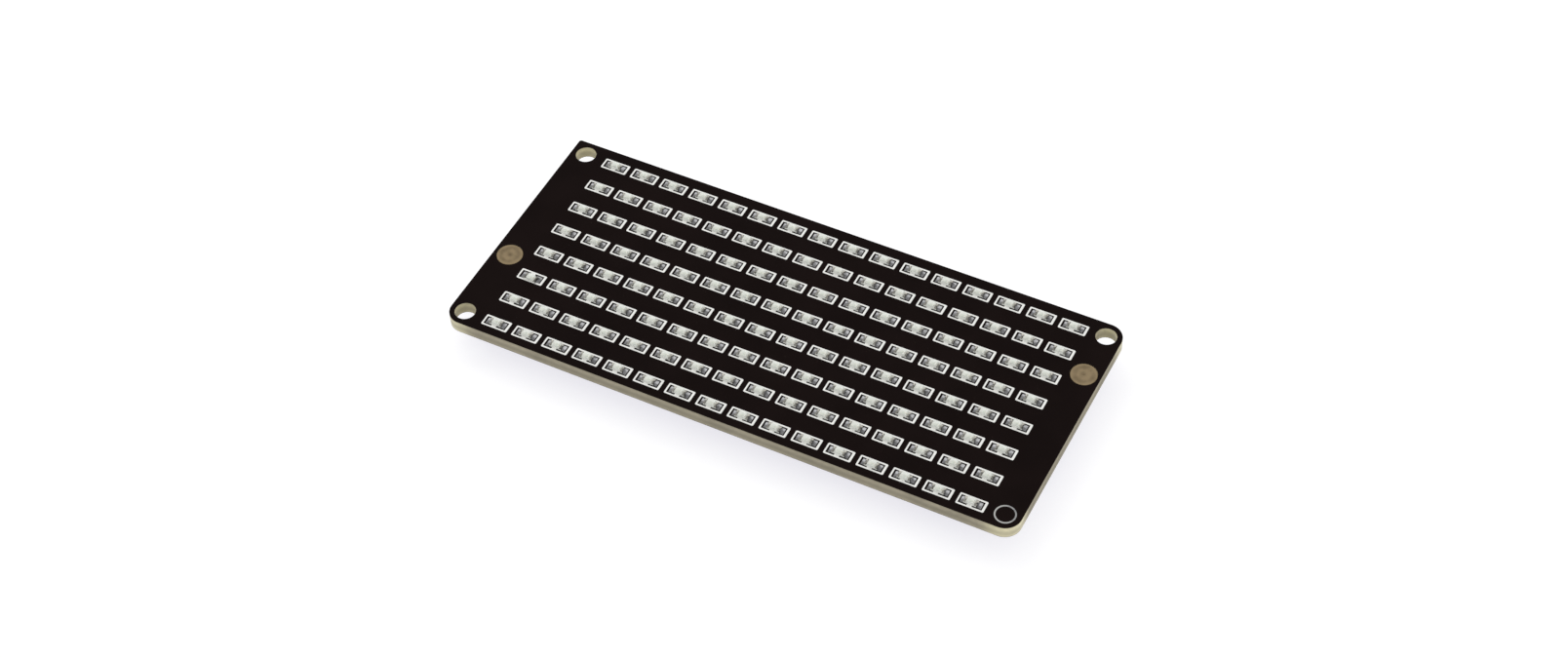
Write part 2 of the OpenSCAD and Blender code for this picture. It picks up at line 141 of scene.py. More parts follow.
class NutSettings(bpy.types.PropertyGroup):
    shank: length("Shank", "Diameter of a press-in nut's shank", 3.2)
    flange: length("Flange", "Diameter of the flange behind the board", 3.7)
    flange_thickness: length("Flange thickness", "Thickness of the flange", 0.3)
    bore: length("Bore", "Inner diameter of the thread", 1.6)
    thread_pitch: length("Thread pitch", "Spacing of the thread's turns", 0.4)
    cap: length("Closed front", "Thickness of the nut's closed front", 0.4)


class BackSettings(bpy.types.PropertyGroup):
    track_width: length("Track width", "Width of a covered copper track", 0.3)
    track_rise: length("Track rise", "How far a covered track stands proud", 0.03)
    via: length("Via", "Diameter of a covered via's collar", 0.6)


class ColourSettings(bpy.types.PropertyGroup):
    lacquer: tint("Solder mask", "Matte black solder mask", "160F0E")
    routed_glass_with_painted_light: tint("Routed fibreglass", "Epoxy-glass where the router cut it", "D9D1AD")
    # the routed colour is partly painted light and the sawn colour partly painted shade
    sawn: tint("Sawn fibreglass", "Epoxy-glass along the sawn sides", "A39B86")
    ink: tint("White ink", "Screen-printed white ink", "F2F2EE")
    resin: tint("LED resin", "White resin of the LED bases", "F1F2EC")
    brass: tint("Turned brass", "Dull turned brass of the nuts", "84745A")
    solder: tint("Solder", "Reflowed tin solder", "C9C9CB")
    plating: tint("Plating", "Silver plating of the LED terminals", "CFCCC2")


class StageSettings(bpy.types.PropertyGroup):
    camera_place: FloatVectorProperty(
        name="Camera place", description="Where the camera stands", unit="LENGTH",
        subtype="TRANSLATION", default=(100.84 * MM, -181.84 * MM, 240.16 * MM))
    lens: FloatProperty(name="Lens", description="Focal length", default=62.9, unit="CAMERA")
    key_power: FloatProperty(name="Key lamp", description="Power of the key lamp", default=0.6,
                             unit="POWER")
    fill_power: FloatProperty(name="Fill lamp", description="Power of the fill lamp",
                              default=0.12, unit="POWER")
    sky: FloatProperty(name="Sky", description="Strength of the even studio light", default=0.8)


class DotMatrixSettings(bpy.types.PropertyGroup):
    array: PointerProperty(type=DotArraySettings)
    led: PointerProperty(type=LedSettings)
    ink: PointerProperty(type=PrintSettings)
    nut: PointerProperty(type=NutSettings)
    back: PointerProperty(type=BackSettings)
    colour: PointerProperty(type=ColourSettings)
    stage: PointerProperty(type=StageSettings)


def settings():
    return bpy.context.scene.dot_matrix


# ---- materials ----


def add(tree, kind, sockets=None, links=None, stops=None, **options):
    """Adds a node with its options, plain socket values, links and colour stops."""
    node = tree.nodes.new(kind)
    for key, value in options.items():
        setattr(node, key, value)
    for key, value in (sockets or {}).items():
        node.inputs[key].default_value = value
    for key, source in (links or {}).items():
        tree.links.new(source, node.inputs[key])
    if stops:
        ramp = node.color_ramp
        while len(ramp.elements) < len(stops):
            ramp.elements.new(1.0)
        for element, (place, colour) in zip(ramp.elements, stops):
            element.position, element.color = place, colour
    return node


def finish(name, colour, roughness, metallic=0.0, **sockets):
    """Starts a material: its shader, and the object coordinates that its patterns read."""
    material = bpy.data.materials.new(name)
    material.use_nodes = True
    tree = material.node_tree
    tree.nodes.clear()
    shader = add(tree, "ShaderNodeBsdfPrincipled",
                 {"Base Color": colour, "Roughness": roughness, "Metallic": metallic, **sockets})
    add(tree, "ShaderNodeOutputMaterial", links={"Surface": shader.outputs[0]})
    place = add(tree, "ShaderNodeTexCoord").outputs["Object"]
    return material, tree, shader, place


def mottle(tree, shader, place, dark, light, size, low=0.35, high=0.65, detail=3.0):
    """Colour patches of that size in metres, from dark to light."""
    noise = add(tree, "ShaderNodeTexNoise", {"Scale": 1 / size, "Detail": detail},
                {"Vector": place})
    ramp = add(tree, "ShaderNodeValToRGB", links={0: noise.outputs[0]},
               stops=[(low, dark), (high, light)])
    tree.links.new(ramp.outputs[0], shader.inputs["Base Color"])


def grain(tree, shader, place, size, depth, detail=2.0, roughness=None):
    """A fine relief of that grain size and depth in metres, and its spread of roughness."""
    noise = add(tree, "ShaderNodeTexNoise", {"Scale": 1 / size, "Detail": detail},
                {"Vector": place})
    bump = add(tree, "ShaderNodeBump", {"Distance": depth, "Strength": 1.0},
               {"Height": noise.outputs[0]})
    tree.links.new(bump.outputs[0], shader.inputs["Normal"])
    if roughness:
        spread = add(tree, "ShaderNodeMapRange", {"To Min": roughness[0], "To Max": roughness[1]},
                     {"Value": noise.outputs[0]})
        tree.links.new(spread.outputs[0], shader.inputs["Roughness"])


def shade(colour, factor):
    """The same colour, lighter or darker."""
    return (*[min(1.0, c * factor) for c in colour[:3]], 1.0)


def solder_mask_finish():
    """Matte black epoxy lacquer, sprayed and baked: nearly no gloss, a faint orange peel."""
    colour = settings().colour.lacquer
    material, tree, shader, place = finish("matte_black_solder_mask", colour, 0.62,
                                           **{"Specular IOR Level": 0.02})
    mottle(tree, shader, place, shade(colour, 0.86), shade(colour, 1.1), 6 * MM)
    # the real peel is about 0.05 mm wide; it is drawn 0.25 mm wide so that it shows
    grain(tree, shader, place, 0.25 * MM, 0.003 * MM, roughness=(0.56, 0.68))
    return material


def fibreglass_finish():
    """Epoxy-glass laminate: eight glass plies in khaki epoxy, glossier and paler where the
    router rounded a corner or a drill cut, greyer and rougher along the sawn sides. The corners'
    paleness is partly painted light, shining through and off the smooth routed glass, and the
    sides' grey is partly painted shade."""
    colours = settings().colour
    material, tree, shader, place = finish("epoxy_glass_laminate", colours.routed_glass_with_painted_light, 0.6)
    split = add(tree, "ShaderNodeSeparateXYZ", links={"Vector": place})
    # how near the place is to a corner: the sides are sawn up to 4 mm from each end
    near = []
    for axis, reach in ((0, BOARD_HIGH.x), (1, BOARD_HIGH.y)):
        size = add(tree, "ShaderNodeMath", links={0: split.outputs[axis]}, operation="ABSOLUTE")
        near.append(add(tree, "ShaderNodeMapRange",
                        {"From Min": reach - 4.6 * MM, "From Max": reach - 1.6 * MM},
                        {"Value": size.outputs[0]}, interpolation_type="SMOOTHSTEP").outputs[0])
    corner = add(tree, "ShaderNodeMath", links={0: near[0], 1: near[1]}, operation="MULTIPLY")
    # eight plies of 0.19 mm: a yarn row is pale, the epoxy between two rows is darker
    plies = add(tree, "ShaderNodeTexWave", {"Scale": 1 / (0.19 * MM) / 20, "Distortion": 0.6,
                                            "Detail": 2.0, "Detail Scale": 2.0},
                {"Vector": place}, wave_type="BANDS", bands_direction="Z")
    # cut yarn ends, 0.45 mm apart along an edge
    stretch = add(tree, "ShaderNodeMapping", {"Scale": (1.0, 1.0, 2.6)}, {"Vector": place})
    yarn = add(tree, "ShaderNodeTexNoise", {"Scale": 1 / (0.45 * MM), "Detail": 2.0},
               {"Vector": stretch.outputs[0]})
    # the saw leaves patches about 3 mm long
    patches = add(tree, "ShaderNodeTexNoise", {"Scale": 1 / (3 * MM), "Detail": 3.0},
                  {"Vector": place})
    # painted light and shade: the pale corner colour stands partly for light shining through and off
    # the routed corners, the grey side colour partly for the shade along the sides
    base = add(tree, "ShaderNodeMix", {6: colours.sawn, 7: colours.routed_glass_with_painted_light},
               {0: corner.outputs[0]}, data_type="RGBA")
    streaks = add(tree, "ShaderNodeMath", {2: 0.10}, {0: plies.outputs[1], 1: yarn.outputs[0]},
                  operation="MULTIPLY_ADD")
    tone = add(tree, "ShaderNodeMapRange", {"From Min": 0.15, "From Max": 0.75,
                                            "To Min": 0.80, "To Max": 1.14},
               {"Value": streaks.outputs[0]})
    wear = add(tree, "ShaderNodeMapRange", {"From Min": 0.35, "From Max": 0.65,
                                            "To Min": 0.90, "To Max": 1.08},
               {"Value": patches.outputs[0]})
    both = add(tree, "ShaderNodeMath", links={0: tone.outputs[0], 1: wear.outputs[0]},
               operation="MULTIPLY")
    grey = add(tree, "ShaderNodeCombineXYZ", links={i: both.outputs[0] for i in range(3)})
    colour = add(tree, "ShaderNodeMix", {0: 1.0}, {6: base.outputs[2], 7: grey.outputs[0]},
                 data_type="RGBA", blend_type="MULTIPLY")
    tree.links.new(colour.outputs[2], shader.inputs["Base Color"])
    rough = add(tree, "ShaderNodeMapRange", {"To Min": 0.75, "To Max": 0.42},
                {"Value": corner.outputs[0]})
    tree.links.new(rough.outputs[0], shader.inputs["Roughness"])
    bump = add(tree, "ShaderNodeBump", {"Distance": 0.02 * MM, "Strength": 0.7},
               {"Height": streaks.outputs[0]})
    tree.links.new(bump.outputs[0], shader.inputs["Normal"])
    return material


def white_ink_finish():
    """Screen-printed epoxy ink: flat white, slightly thinner in places, with the mesh's grain."""
    colour = settings().colour.ink
    material, tree, shader, place = finish("screen_printed_ink", colour, 0.55)
    mottle(tree, shader, place, shade(colour, 0.90), colour, 0.5 * MM)
    grain(tree, shader, place, 0.12 * MM, 0.004 * MM)
    return material


def grey_ring_ink_finish():
    """The ring's ink is grey, darker towards its upper right, in patches."""
    material, tree, shader, place = finish("grey_printed_ink", linear("A6A6A3"), 0.6)
    centre = middle("corner_ring")
    darkening = Vector((0.75, 0.66, 0.0))  # the way in which the ring gets darker
    across = add(tree, "ShaderNodeVectorMath", {1: darkening}, {0: place},
                 operation="DOT_PRODUCT")
    start = centre.x * darkening.x + centre.y * darkening.y
    ring_darkening = add(tree, "ShaderNodeMapRange", {"From Min": start - 0.6 * MM,
                                            "From Max": start + 1.3 * MM},
               {"Value": across.outputs["Value"]})
    patch = add(tree, "ShaderNodeTexNoise", {"Scale": 1 / (0.4 * MM)}, {"Vector": place})
    mixed = add(tree, "ShaderNodeMath", {2: -0.1}, {0: patch.outputs[0], 1: ring_darkening.outputs[0]},
                operation="MULTIPLY_ADD")
    ramp = add(tree, "ShaderNodeValToRGB", links={0: mixed.outputs[0]},
               stops=[(0.0, linear("ACACA9")), (0.45, linear("77767A"))])
    tree.links.new(ramp.outputs[0], shader.inputs["Base Color"])
    return material


def led_resin_finish():
    """Glass-filled white resin of the LED's base: bright, slightly glossy, faintly mottled."""
    colour = settings().colour.resin
    material, tree, shader, place = finish("white_led_resin", colour, 0.45)
    mottle(tree, shader, place, shade(colour, 0.90), colour, 0.6 * MM)
    grain(tree, shader, place, 0.08 * MM, 0.002 * MM)
    return material


def led_lens_finish():
    """Cast epoxy, a little milky: pale all over, with the die and its wire showing through.
    Light passes straight through half of it, as it does through so thin a layer."""
    material, tree, shader, place = finish("milky_cast_epoxy", linear("F8FBF5"), 0.08,
                                           **{"Alpha": 0.5, "IOR": 1.5})
    grain(tree, shader, place, 0.3 * MM, 0.004 * MM)
    return material


def metal_finish(name, colour, roughness, patch, size=0.05, depth=0.004):
    """A metal with its patches of tarnish and a fine relief, sizes in millimetres."""
    material, tree, shader, place = finish(name, colour, sum(roughness) / 2, 1.0)
    mottle(tree, shader, place, shade(colour, patch), colour, 0.35 * MM)
    grain(tree, shader, place, size * MM, depth * MM, roughness=roughness)
    return material


def metal_with_painted_shade_finish(name, colour, roughness, along, across):
    """The metal at an LED's ends, with painted shade and reflection: darker on its near half, by
    the lens and next to the LED's ends, as the board's black and the LED's own shade would make
    it. How dark is given by stops along and across each LED, from -2 mm to +2 mm of its middle,
    and it is patchy, so that no two LEDs look the same."""
    material = metal_finish(name, colour, roughness, 0.75, 0.12, 0.006)
    tree = material.node_tree
    shader = next(n for n in tree.nodes if n.type == "BSDF_PRINCIPLED")
    place = next(n for n in tree.nodes if n.type == "TEX_COORD").outputs["Object"]
    array, centre = settings().array, middle("led_dies")
    half = array.pitch / 2
    odd = [0.0 if n % 2 else half for n in (array.columns, array.rows)]
    moved = add(tree, "ShaderNodeVectorMath", operation="SUBTRACT", links={0: place},
                sockets={1: (centre.x + odd[0], centre.y + odd[1], 0.0)})
    local = add(tree, "ShaderNodeVectorMath", operation="WRAP", links={0: moved.outputs[0]},
                sockets={1: (half, half, 1.0), 2: (-half, -half, -1.0)})
    split = add(tree, "ShaderNodeSeparateXYZ", links={"Vector": local.outputs[0]})
    noise = add(tree, "ShaderNodeTexNoise", {"Scale": 1 / (0.4 * MM), "Detail": 1.0},
                {"Vector": place})
    wobble = add(tree, "ShaderNodeMapRange", {"To Min": -0.3 * MM, "To Max": 0.3 * MM},
                 {"Value": noise.outputs[0]})
    # painted shade: one ramp along each LED and one across it darken the metal
    film = []
    for axis, stops in ((0, along), (1, across)):
        at = add(tree, "ShaderNodeMath", operation="ADD",
                 links={0: split.outputs[axis], 1: wobble.outputs[0]})
        where = add(tree, "ShaderNodeMapRange", {"From Min": -2 * MM, "From Max": 2 * MM},
                    {"Value": at.outputs[0]})
        film.append(add(tree, "ShaderNodeValToRGB", links={0: where.outputs[0]},
                        stops=[((mm + 2) / 4, (v, v, v, 1.0)) for mm, v in stops]).outputs[0])
    plain = shader.inputs["Base Color"].links[0].from_socket
    for tone in film:
        plain = add(tree, "ShaderNodeMix", {0: 1.0}, {6: plain, 7: tone}, data_type="RGBA",
                    blend_type="MULTIPLY").outputs[2]
    tree.links.new(plain, shader.inputs["Base Color"])
    return material


def turned_brass_finish(name, node):
    """Dull brass faced off on a lathe: fine rings about the nut's axis, their relief a bump and their
    sheen painted as lighter and darker bands of colour.
    """
    colour = settings().colour.brass
    material, tree, shader, place = finish(name, colour, 0.42, 1.0)
    centre = middle(node)
    moved = add(tree, "ShaderNodeMapping", {"Location": (-centre.x, -centre.y, 0.0)},
                {"Vector": place})
    # the tool's feed is about 0.05 mm a turn; its rings are drawn 0.16 mm apart so that they show
    rings = add(tree, "ShaderNodeTexWave", {"Scale": 1 / (0.16 * MM) / 20, "Distortion": 1.2,
                                            "Detail": 3.0, "Detail Scale": 1.0},
                {"Vector": moved.outputs[0]}, wave_type="RINGS", rings_direction="Z")
    noise = add(tree, "ShaderNodeTexNoise", {"Scale": 1 / (0.9 * MM), "Detail": 3.0},
                {"Vector": place})
    mixed = add(tree, "ShaderNodeMath", {1: 0.35}, {0: rings.outputs[1], 2: noise.outputs[0]},
                operation="MULTIPLY_ADD")
    # painted sheen: the tool rings lighten and darken the brass's colour as light caught on the
    # grooves would, mixed with patchy tone
    ramp = add(tree, "ShaderNodeValToRGB", links={0: mixed.outputs[0]},
               stops=[(0.35, shade(colour, 0.80)), (0.85, shade(colour, 1.22))])
    tree.links.new(ramp.outputs[0], shader.inputs["Base Color"])
    bump = add(tree, "ShaderNodeBump", {"Distance": 0.006 * MM, "Strength": 0.8},
               {"Height": rings.outputs[1]})
    tree.links.new(bump.outputs[0], shader.inputs["Normal"])
    return material


def moulded_finish(name, colour, roughness, size, depth, patch=0.9):
    """A moulded plastic or fired ceramic with its grain, sizes in millimetres."""
    material, tree, shader, place = finish(name, colour, roughness)
    mottle(tree, shader, place, shade(colour, patch), colour, 4 * size * MM)
    grain(tree, shader, place, size * MM, depth * MM,
          roughness=(roughness - 0.06, roughness + 0.06))
    return material


def resistor_finish():
    """Thick-film resistor: black glaze printed on top of a white alumina chip."""
    material, tree, shader, place = finish("glazed_alumina", linear("26262A"), 0.3)
    under = on_axis("resistors", 2, False)
    split = add(tree, "ShaderNodeSeparateXYZ", links={"Vector": place})
    level = add(tree, "ShaderNodeMapRange", {"From Min": under + 0.05 * MM,
                                             "From Max": under + 0.09 * MM},
                {"Value": split.outputs[2]})
    glaze = add(tree, "ShaderNodeMix", {6: linear("242428"), 7: linear("DCDAD2")},
                {0: level.outputs[0]}, data_type="RGBA")
    tree.links.new(glaze.outputs[2], shader.inputs["Base Color"])
    grain(tree, shader, place, 0.1 * MM, 0.003 * MM, roughness=(0.22, 0.4))
    return material


# ---- pieces ----


def dress(node, material):
    """Gives a CAD node its finish."""
    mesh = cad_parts[node].data
    mesh.materials.clear()
    mesh.materials.append(material)


def finish_piece(name, bm, material, nodes=()):
    """Turns a bmesh into a finished piece that rides on the board and stands for CAD nodes."""
    mesh = bpy.data.meshes.new(name)
    bm.to_mesh(mesh)
    bm.free()
    mesh.materials.append(material)
    piece = bpy.data.objects.new(name, mesh)
    bpy.context.scene.collection.objects.link(piece)
    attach(piece, BODY)
    if nodes:
        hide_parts(*nodes)
    return piece


def row_nodes(kind):
    return [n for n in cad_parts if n.startswith(f"led_{kind}_row_")]


def face_of(bm, points):
    """One flat face through the points."""
    return bm.faces.new([bm.verts.new(p) for p in points])


def raise_faces(bm, faces, by):
    """Pulls faces out into a closed solid, by that vector."""
    pulled = bmesh.ops.extrude_face_region(bm, geom=faces, use_keep_orig=True)["geom"]
    bmesh.ops.translate(bm, vec=by, verts=[g for g in pulled if isinstance(g, bmesh.types.BMVert)])
    bmesh.ops.recalc_face_normals(bm, faces=bm.faces)


def round_edges(bm, edges, offset, segments=2):
    bmesh.ops.bevel(bm, geom=edges, offset=offset, offset_type="OFFSET", affect="EDGES",
                    segments=segments, profile=0.5, material=-1, clamp_overlap=True)


def sharp_edges(bm, angle=30.0):
    return [e for e in bm.edges
            if len(e.link_faces) == 2 and e.calc_face_angle(0.0) > math.radians(angle)]


def spread(template, places):
    """A bmesh with the template copied to each matrix."""
    source = bpy.data.meshes.new("template")
    template.to_mesh(source)
    template.free()
    whole = bmesh.new()
    for place in places:
        copy = source.copy()
        copy.transform(place)
        whole.from_mesh(copy)
        bpy.data.meshes.remove(copy)
    bpy.data.meshes.remove(source)
    return whole


def join(bm, other):
    """Moves another bmesh's faces into this one."""
    mesh = bpy.data.meshes.new("joined")
    other.to_mesh(mesh)
    other.free()
    bm.from_mesh(mesh)
    bpy.data.meshes.remove(mesh)


def rounded_copy(name, node, material, offset, segments=2):
    """A CAD node's own shape with its sharp edges rounded, as a moulded or cut part has them."""
    bm = bmesh.new()
    bm.from_mesh(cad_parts[node].data)
    bmesh.ops.remove_doubles(bm, verts=bm.verts, dist=1e-6)
    bmesh.ops.dissolve_limit(bm, angle_limit=math.radians(1), verts=bm.verts, edges=bm.edges)
    round_edges(bm, sharp_edges(bm), offset * MM, segments)
    bmesh.ops.triangulate(bm, faces=[f for f in bm.faces if len(f.verts) > 4])
    return finish_piece(name, bm, material, [node])


def arc(x, y, radius, start, end, steps):
    """Points on an arc, angles in degrees."""
    return [(x + radius * math.cos(math.radians(a)), y + radius * math.sin(math.radians(a)))
            for a in (start + (end - start) * k / steps for k in range(steps + 1))]


def rounded_rectangle(bm, long, wide, radius, z, steps=2):
    """A closed loop of edges along a rectangle with rounded corners."""
    x, y = long / 2 - radius, wide / 2 - radius
    points = (arc(x, y, radius, 0, 90, steps) + arc(-x, y, radius, 90, 180, steps)
              + arc(-x, -y, radius, 180, 270, steps) + arc(x, -y, radius, 270, 360, steps))
    verts = [bm.verts.new((*p, z)) for p in points]
    return [bm.edges.new((a, b)) for a, b in zip(verts, verts[1:] + verts[:1])]


class LedPlaces:
    """Where each LED stands: on its own square of the grid, a little off as placed parts are."""

    low_led = (0, 5)  # column and row of the LED that sits low in its outline
    left_led = (15, 7)  # the LED that sits to the left in its outline

    def __init__(self):
        array = settings().array
        draw = random.Random(array.seed)
        centre = middle("led_dies")
        self.grid, self.placed, self.soldered = [], [], []
        for row in range(array.rows):
            for column in range(array.columns):
                x = centre.x + (column - (array.columns - 1) / 2) * array.pitch
                y = centre.y + ((array.rows - 1) / 2 - row) * array.pitch
                off = [draw.uniform(-1, 1) * array.wander for _ in range(2)]
                turn = draw.uniform(-1, 1) * array.turn
                if (column, row) == self.low_led:
                    off, turn = [0.05 * MM, -0.27 * MM], math.radians(-3)
                if (column, row) == self.left_led:
                    off = [-0.11 * MM, 0.0]
                here = Matrix.Translation((x, y, FRONT))
                move = Matrix.Translation((off[0], off[1], settings().led.lift))
                self.grid.append(here)
                self.placed.append(here @ move @ Matrix.Rotation(turn, 4, "Z"))
                self.soldered.append(here @ Matrix.Translation((off[0] * 0.6, off[1] * 0.6, 0))
                                     @ Matrix.Rotation(turn * 0.5, 4, "Z"))

    @staticmethod
    def both_ends(places):
        half_turn = Matrix.Rotation(math.pi, 4, "Z")
        return [m @ t for m in places for t in (Matrix.Identity(4), half_turn)]


class DOTS_OT_board(bpy.types.Operator):
    """Finish the fibreglass board, its black lacquer and the ring printed in one corner"""

    bl_idname = "dots.board"
    bl_label = "Board and lacquer"
    bl_options = {"REGISTER", "UNDO"}

    def execute(self, context):
        dress("circuit_board", fibreglass_finish())
        lacquer = solder_mask_finish()
        dress("solder_mask_front", lacquer)
        dress("solder_mask_back", lacquer)
        dress("corner_ring", grey_ring_ink_finish())
        return {"FINISHED"}


class DOTS_OT_outlines(bpy.types.Operator):
    """Print the white outline around each LED, with the rounded corners of a printed line"""

    bl_idname = "dots.outlines"
    bl_label = "Printed outlines"
    bl_options = {"REGISTER", "UNDO"}

    def execute(self, context):
        ink = settings().ink
        bm = bmesh.new()
        outer = rounded_rectangle(bm, ink.frame_length, ink.frame_width, ink.corner, 0.0)
        opening = ink.frame_length - ink.line - ink.end_line
        inner = rounded_rectangle(bm, opening, ink.frame_width - 2 * ink.line, 0.02 * MM, 0.0)
        bmesh.ops.translate(bm, vec=((ink.line - ink.end_line) / 2, 0, 0),
                            verts=list({v for e in inner for v in e.verts}))
        bmesh.ops.bridge_loops(bm, edges=outer + inner)
        left, right = -ink.bar_shift - ink.bar / 2, -ink.bar_shift + ink.bar / 2
        side = (ink.frame_width - ink.line) / 2
        raise_faces(bm, bm.faces[:], (0, 0, ink.thickness))
        # the bar is a hair thinner, so that its ends pass into the outline's lines
        bar = bmesh.new()
        face_of(bar, [(left, -side, 0), (right, -side, 0), (right, side, 0), (left, side, 0)])
        raise_faces(bar, bar.faces[:], (0, 0, ink.thickness * 0.95))
        join(bm, bar)
        finish_piece("printed_led_outlines", spread(bm, LedPlaces().grid), white_ink_finish(),
                     ["led_outlines"])
        dress("back_outlines", white_ink_finish())
        return {"FINISHED"}


class DOTS_OT_leds(bpy.types.Operator):
    """Build the chip LEDs: notched white bases, plated terminals, clear lenses, dies and wires"""

    bl_idname = "dots.leds"
    bl_label = "Chip LEDs"
    bl_options = {"REGISTER", "UNDO"}

    def execute(self, context):
        led = settings().led
        colours = settings().colour
        places = LedPlaces()
        placed, ends = places.placed, places.both_ends(places.placed)
        half, side, top = led.body_length / 2, led.width / 2, led.base_height

        # base: a slab with a half-round notch in each end
        bm = bmesh.new()
        notch = arc(half, 0, led.notch, 270, 90, 6)
        other = [(-x, -y) for x, y in notch]
        outline = [(half, -side), *notch, (half, side), (-half, side), *other, (-half, -side)]
        slab = face_of(bm, [(x, y, 0.0) for x, y in outline])
        raise_faces(bm, [slab], (0, 0, top - 0.004 * MM))
        finish_piece("white_led_bases", spread(bm, placed), led_resin_finish(),
                     row_nodes("bases"))

        # terminal: plating over the base's end, its notch and part of its top
        bm = bmesh.new()
        start = half - led.terminal
        outline = [(start, -side), (half, -side), *notch, (half, side), (start, side)]
        plate = face_of(bm, [(x, y, top) for x, y in outline])
        rim = [e for e in plate.edges if max(v.co.x for v in e.verts) > start + led.plating
               and abs(e.verts[0].co.y - e.verts[1].co.y) > 0]
        pulled = bmesh.ops.extrude_edge_only(bm, edges=rim)["geom"]
        bmesh.ops.translate(bm, vec=(0, 0, -top),
                            verts=[g for g in pulled if isinstance(g, bmesh.types.BMVert)])
        bmesh.ops.recalc_face_normals(bm, faces=bm.faces)
        if plate.normal.z < 0:
            bmesh.ops.reverse_faces(bm, faces=bm.faces)
        bmesh.ops.solidify(bm, geom=bm.faces[:], thickness=-led.plating)
        bmesh.ops.recalc_face_normals(bm, faces=bm.faces)
        # painted shade and reflection: the plating is darker on each terminal's near half, at the
        # left terminal's end by the lens and at the right terminal's outer end
        finish_piece("led_terminals", spread(bm, ends),
                     metal_with_painted_shade_finish("silver_plating", colours.plating, (0.22, 0.36),
                                         ((-0.9, 0.8), (-0.66, 1.0), (-0.54, 0.3), (0.5, 0.8),
                                          (0.66, 1.0), (0.78, 0.3)),
                                         ((-0.3, 0.45), (0.0, 0.5), (0.2, 1.0), (0.4, 1.0))),
                     row_nodes("terminals"))

        # lens: a cast block whose ends lean in, sunk a hair into the base so no gap shows
        bm = bmesh.new()
        bmesh.ops.create_cube(bm, size=1.0)
        bmesh.ops.scale(bm, vec=(led.lens_length, led.width - 0.02 * MM, led.lens_height),
                        verts=bm.verts)
        upper = [v for v in bm.verts if v.co.z > 0]
        lean = 1 - 2 * led.lens_lean / led.lens_length
        bmesh.ops.scale(bm, vec=(lean, 0.985, 1.0), verts=upper)
        bmesh.ops.translate(bm, vec=(0, 0, top + led.lens_height / 2), verts=bm.verts)
        for v in bm.verts:
            if v.co.z < top + 0.01 * MM:
                v.co.z = top - 0.003 * MM
        round_edges(bm, [e for e in bm.edges if max(v.co.z for v in e.verts) > top + 0.01 * MM],
                    0.035 * MM, 1)
        finish_piece("clear_led_lenses", spread(bm, placed), led_lens_finish(),
                     row_nodes("lenses"))

        # die with a slightly smaller sawn top
        bm = bmesh.new()
        bmesh.ops.create_cube(bm, size=1.0)
        bmesh.ops.scale(bm, vec=(led.die, led.die, led.die_height), verts=bm.verts)
        bmesh.ops.scale(bm, vec=(0.86, 0.86, 1.0), verts=[v for v in bm.verts if v.co.z > 0])
        bmesh.ops.translate(bm, vec=(0, 0, top + led.die_height / 2), verts=bm.verts)
        finish_piece("led_dies_sawn", spread(bm, placed),
                     moulded_finish("sawn_crystal", linear("A9BFA0"), 0.25, 0.05, 0.001),
                     ["led_dies"])

        # the plated tongues that the die and its wire sit on, under the lens: each one's two
        # ends and its width, in millimetres
        bm = bmesh.new()
        for x0, x1, wide in ((-0.52, 0.17, 0.3), (0.3, 0.52, 0.26)):
            slab = face_of(bm, [(x0 * MM, -wide / 2 * MM, top), (x1 * MM, -wide / 2 * MM, top),
                                (x1 * MM, wide / 2 * MM, top), (x0 * MM, wide / 2 * MM, top)])
            raise_faces(bm, [slab], (0, 0, 0.015 * MM))
        finish_piece("led_tongues", spread(bm, placed),
                     metal_finish("plated_tongues", linear("CFCDC0"), (0.25, 0.4), 0.85))

        # bond wire: from the die's top over to the other tongue, as places along the LED and
        # heights over its base, in millimetres
        bm = bmesh.new()
        path = [(0.0, 0.095), (0.04, 0.16), (0.12, 0.19), (0.22, 0.16), (0.31, 0.09),
                (0.37, 0.016)]
        thick = 0.028 * MM
        bmesh.ops.create_grid(bm, x_segments=1, y_segments=1, size=thick / 2,
                              matrix=Matrix.Translation((path[0][0] * MM, 0,
                                                         top + path[0][1] * MM)))
        tip = bm.faces[:]
        for (x0, z0), (x1, z1) in zip(path, path[1:]):
            pulled = bmesh.ops.extrude_face_region(bm, geom=tip)["geom"]
            tip = [g for g in pulled if isinstance(g, bmesh.types.BMFace)]
            bmesh.ops.translate(bm, vec=((x1 - x0) * MM, 0, (z1 - z0) * MM),
                                verts=[g for g in pulled if isinstance(g, bmesh.types.BMVert)])
        bmesh.ops.recalc_face_normals(bm, faces=bm.faces)
        finish_piece("led_bond_wires", spread(bm, placed),
                     metal_finish("gold_wire", linear("D8B968"), (0.2, 0.3), 0.9))
        return {"FINISHED"}


def fillet(reach, inner, width, climb, low, notch=0.0, rows=6, columns=6):
    """A solder fillet: it hangs from x = inner in a hollow curve to x = reach, thins out to its
    sides, and follows a half-round notch where the part has one."""
    hollow = 2.2  # power of the curve that the solder hangs in
    in_notch = 0.92  # how deep it runs into the notch
    at_sides = 0.35  # its height at the sides, as a share of the middle's
    narrowing = 0.10  # how much narrower its toe is
    bm = bmesh.new()
    bmesh.ops.create_grid(bm, x_segments=columns, y_segments=rows, size=0.5)
    for v in bm.verts:
        along, across = v.co.x + 0.5, v.co.y * 2
        y = across * width / 2
        start = inner
        if notch and abs(y) < notch:
            start = inner - math.sqrt(notch * notch - y * y) * in_notch
        curve = (1 - along) ** hollow
        edge = 1 - abs(across) ** 4
        v.co = (start + (reach - start) * along, y * (1 - narrowing * along ** 3),
                low + (climb - low) * curve * (at_sides + (1 - at_sides) * edge))
    raise_faces(bm, bm.faces[:], (0, 0, -1))
    for v in bm.verts:
        if v.co.z < -0.5:
            v.co.z = 0.0
    bmesh.ops.recalc_face_normals(bm, faces=bm.faces)
    return bm


